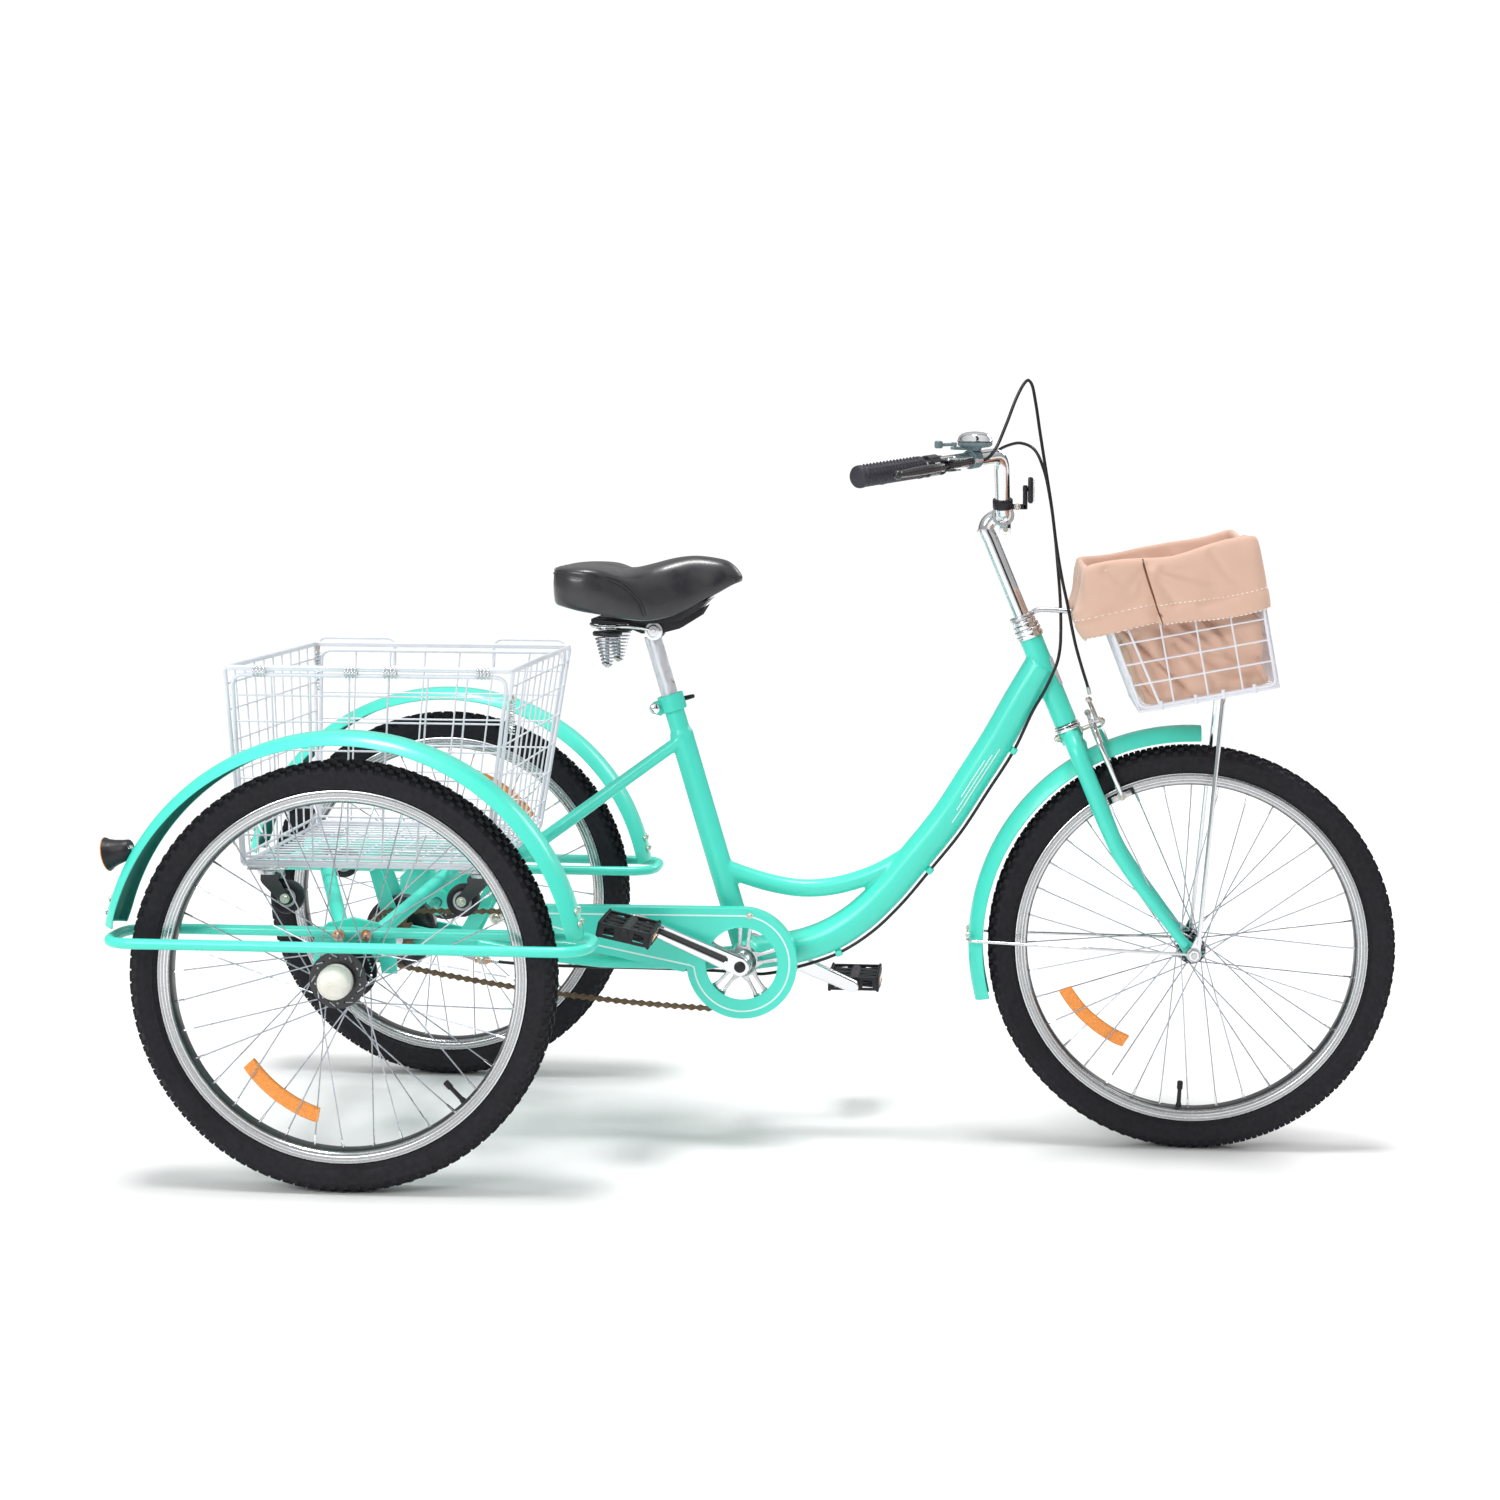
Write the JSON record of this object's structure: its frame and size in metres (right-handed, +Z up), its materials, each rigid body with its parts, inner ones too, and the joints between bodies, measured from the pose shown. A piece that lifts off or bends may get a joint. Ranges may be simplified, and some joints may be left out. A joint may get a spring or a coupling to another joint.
{
  "type": "adult tricycle",
  "caption": "Step-through adult tricycle with a rear trolley basket on casters, a lined front wire basket, chain drive, fenders and wheel guard loops.",
  "frame": {"origin": "on the ground at the middle of the whole tricycle's bounding box", "axes": "+X forward towards the front wheel, +Y to the rider's left, +Z up"},
  "size_m": [1.8469, 0.77, 1.1502],
  "materials": {
    "mint_paint": "gloss turquoise paint",
    "chrome_trim": "bright chrome plate",
    "silver_metal": "satin zinc-plated steel",
    "rim_silver": "satin extruded aluminium",
    "tyre_rubber": "moulded black tyre rubber",
    "black_rubber": "soft black rubber",
    "black_plastic": "textured black moulding",
    "black_paint": "satin black coating",
    "black_leather": "grained black vinyl leather",
    "white_wire": "white dipped vinyl coating",
    "beige_fabric": "plain-woven peach beige canvas",
    "chain_steel": "oiled dark bronze steel",
    "red_lens": "clear red reflector moulding",
    "white_lens": "clear white reflector moulding"
  },
  "bodies": {
    "frame": {"main_frame": "mint_paint", "rear_carriage": "mint_paint", "seat_clamp": "mint_paint", "tail_light": "red_lens", "chain_guard": "mint_paint", "drive_chain": "chain_steel", "band_brake": "black_paint", "rear_brake_cable": "black_rubber", "wheel_loop_right": "mint_paint", "wheel_loop_left": "mint_paint", "rear_fender_right": "mint_paint", "rear_fender_left": "mint_paint"},
    "steering": {"fork": "mint_paint", "front_axle": "silver_metal", "stem": "chrome_trim", "handlebar": "chrome_trim", "bell": "chrome_trim", "front_reflector": "white_lens", "front_fender": "mint_paint", "basket_support": "chrome_trim", "front_basket": "white_wire", "basket_liner": "beige_fabric", "front_brake_cable": "black_rubber", "rear_brake_cable_upper": "black_rubber", "grip_right": "black_rubber", "grip_left": "black_rubber", "lever_perch_right": "black_paint", "lever_perch_left": "black_paint"},
    "front_wheel": {"front_tyre": "tyre_rubber", "front_rim": "rim_silver", "front_hub": "black_paint"},
    "right_wheel": {"right_tyre": "tyre_rubber", "right_rim": "rim_silver", "right_hub": "black_paint", "drive_axle": "silver_metal"},
    "left_wheel": {"left_tyre": "tyre_rubber", "left_rim": "rim_silver", "left_hub": "black_paint"},
    "crankset": {"crank_right": "chrome_trim", "crank_left": "chrome_trim"},
    "right_pedal": {"pedal_right": "black_plastic"},
    "left_pedal": {"pedal_left": "black_plastic"},
    "seat_mast": {"seat_post": "silver_metal"},
    "saddle_top": {"saddle": "black_leather", "saddle_base": "black_plastic"},
    "quick_release": {"seat_lever": "chrome_trim"},
    "right_brake_lever": {"brake_lever_right": "black_paint"},
    "left_brake_lever": {"brake_lever_left": "black_paint"},
    "right_caliper_arm": {"caliper_arm_right": "silver_metal"},
    "left_caliper_arm": {"caliper_arm_left": "silver_metal"},
    "bell_thumb_lever": {"bell_lever": "black_plastic"},
    "trolley_basket": {"rear_basket": "white_wire"},
    "caster_rear_right": {"caster_fork_rear_right": "black_paint"},
    "caster_roller_rear_right": {"caster_wheel_rear_right": "black_rubber"},
    "caster_rear_left": {"caster_fork_rear_left": "black_paint"},
    "caster_roller_rear_left": {"caster_wheel_rear_left": "black_rubber"},
    "caster_front_right": {"caster_fork_front_right": "black_paint"},
    "caster_roller_front_right": {"caster_wheel_front_right": "black_rubber"},
    "caster_front_left": {"caster_fork_front_left": "black_paint"},
    "caster_roller_front_left": {"caster_wheel_front_left": "black_rubber"}
  },
  "joints": [
    {"name": "steering_turn", "type": "hinge", "parent": "frame", "child": "steering", "pos_m": [0.4325, 0, 0.634], "axis": [-0.3859, 0, 0.9225], "range_deg": [-60, 60]},
    {"name": "front_wheel_spin", "type": "hinge", "parent": "steering", "child": "front_wheel", "pos_m": [0.6205, 0, 0.303], "axis": [0, 1, 0], "continuous": true},
    {"name": "right_wheel_spin", "type": "hinge", "parent": "frame", "child": "right_wheel", "pos_m": [-0.5795, 0, 0.303], "axis": [0, 1, 0], "continuous": true},
    {"name": "left_wheel_spin", "type": "hinge", "parent": "frame", "child": "left_wheel", "pos_m": [-0.5795, 0, 0.303], "axis": [0, 1, 0], "continuous": true},
    {"name": "crank_spin", "type": "hinge", "parent": "frame", "child": "crankset", "pos_m": [-0.0475, 0, 0.277], "axis": [0, 1, 0], "continuous": true},
    {"name": "right_pedal_spin", "type": "hinge", "parent": "crankset", "child": "right_pedal", "pos_m": [-0.20422, -0.153, 0.34288], "axis": [0, 1, 0], "continuous": true},
    {"name": "left_pedal_spin", "type": "hinge", "parent": "crankset", "child": "left_pedal", "pos_m": [0.10922, 0.153, 0.21112], "axis": [0, 1, 0], "continuous": true},
    {"name": "seat_height", "type": "slide", "parent": "frame", "child": "seat_mast", "axis": [-0.289, 0, 0.9573], "range_m": [-0.04, 0.09]},
    {"name": "saddle_tilt", "type": "hinge", "parent": "seat_mast", "child": "saddle_top", "pos_m": [-0.1885, 0, 0.768], "axis": [0, 1, 0], "range_deg": [-10, 10]},
    {"name": "seat_quick_release", "type": "hinge", "parent": "frame", "child": "quick_release", "pos_m": [-0.18647, 0.022, 0.65079], "axis": [-0.289, 0, 0.9573], "range_deg": [0, 150]},
    {"name": "right_brake_squeeze", "type": "hinge", "parent": "steering", "child": "right_brake_lever", "pos_m": [0.25745, -0.19833, 1.02044], "axis": [0, 0, -1], "range_deg": [0, 10], "stiffness_Nm_per_rad": 8, "springref_deg": -1.15},
    {"name": "left_brake_squeeze", "type": "hinge", "parent": "steering", "child": "left_brake_lever", "pos_m": [0.25745, 0.19833, 1.02044], "axis": [0, 0, 1], "range_deg": [0, 10], "stiffness_Nm_per_rad": 8, "springref_deg": -1.15},
    {"name": "right_caliper_swing", "type": "hinge", "parent": "steering", "child": "right_caliper_arm", "pos_m": [0.43867, 0, 0.61924], "axis": [0.9225, 0, 0.3859], "range_deg": [0, 1.1]},
    {"name": "left_caliper_swing", "type": "hinge", "parent": "steering", "child": "left_caliper_arm", "pos_m": [0.43867, 0, 0.61924], "axis": [-0.9225, 0, -0.3859], "range_deg": [0, 1.1]},
    {"name": "bell_lever_press", "type": "hinge", "parent": "steering", "child": "bell_thumb_lever", "pos_m": [0.26358, -0.12842, 1.05092], "axis": [0, 0, 1], "range_deg": [0, 18], "stiffness_Nm_per_rad": 0.1, "springref_deg": -2.86},
    {"name": "basket_lift", "type": "slide", "parent": "frame", "child": "trolley_basket", "axis": [0, 0, 1], "range_m": [0, 0.12]},
    {"name": "caster_swivel_rear_right", "type": "hinge", "parent": "trolley_basket", "child": "caster_rear_right", "pos_m": [-0.7365, -0.15, 0.414], "axis": [0, 0, 1], "continuous": true},
    {"name": "caster_roll_rear_right", "type": "hinge", "parent": "caster_rear_right", "child": "caster_roller_rear_right", "pos_m": [-0.7105, -0.15, 0.38], "axis": [0, 1, 0], "continuous": true},
    {"name": "caster_swivel_rear_left", "type": "hinge", "parent": "trolley_basket", "child": "caster_rear_left", "pos_m": [-0.7365, 0.15, 0.414], "axis": [0, 0, 1], "continuous": true},
    {"name": "caster_roll_rear_left", "type": "hinge", "parent": "caster_rear_left", "child": "caster_roller_rear_left", "pos_m": [-0.7105, 0.15, 0.38], "axis": [0, 1, 0], "continuous": true},
    {"name": "caster_swivel_front_right", "type": "hinge", "parent": "trolley_basket", "child": "caster_front_right", "pos_m": [-0.4225, -0.15, 0.414], "axis": [0, 0, 1], "continuous": true},
    {"name": "caster_roll_front_right", "type": "hinge", "parent": "caster_front_right", "child": "caster_roller_front_right", "pos_m": [-0.4485, -0.15, 0.38], "axis": [0, 1, 0], "continuous": true},
    {"name": "caster_swivel_front_left", "type": "hinge", "parent": "trolley_basket", "child": "caster_front_left", "pos_m": [-0.4225, 0.15, 0.414], "axis": [0, 0, 1], "continuous": true},
    {"name": "caster_roll_front_left", "type": "hinge", "parent": "caster_front_left", "child": "caster_roller_front_left", "pos_m": [-0.4485, 0.15, 0.38], "axis": [0, 1, 0], "continuous": true}
  ],
  "couplings": [
    {"joint": "crank_spin", "follows": "right_wheel_spin", "ratio": 0.55556},
    {"joint": "right_caliper_swing", "follows": "right_brake_squeeze", "ratio": 0.11},
    {"joint": "left_caliper_swing", "follows": "right_brake_squeeze", "ratio": 0.11}
  ]
}
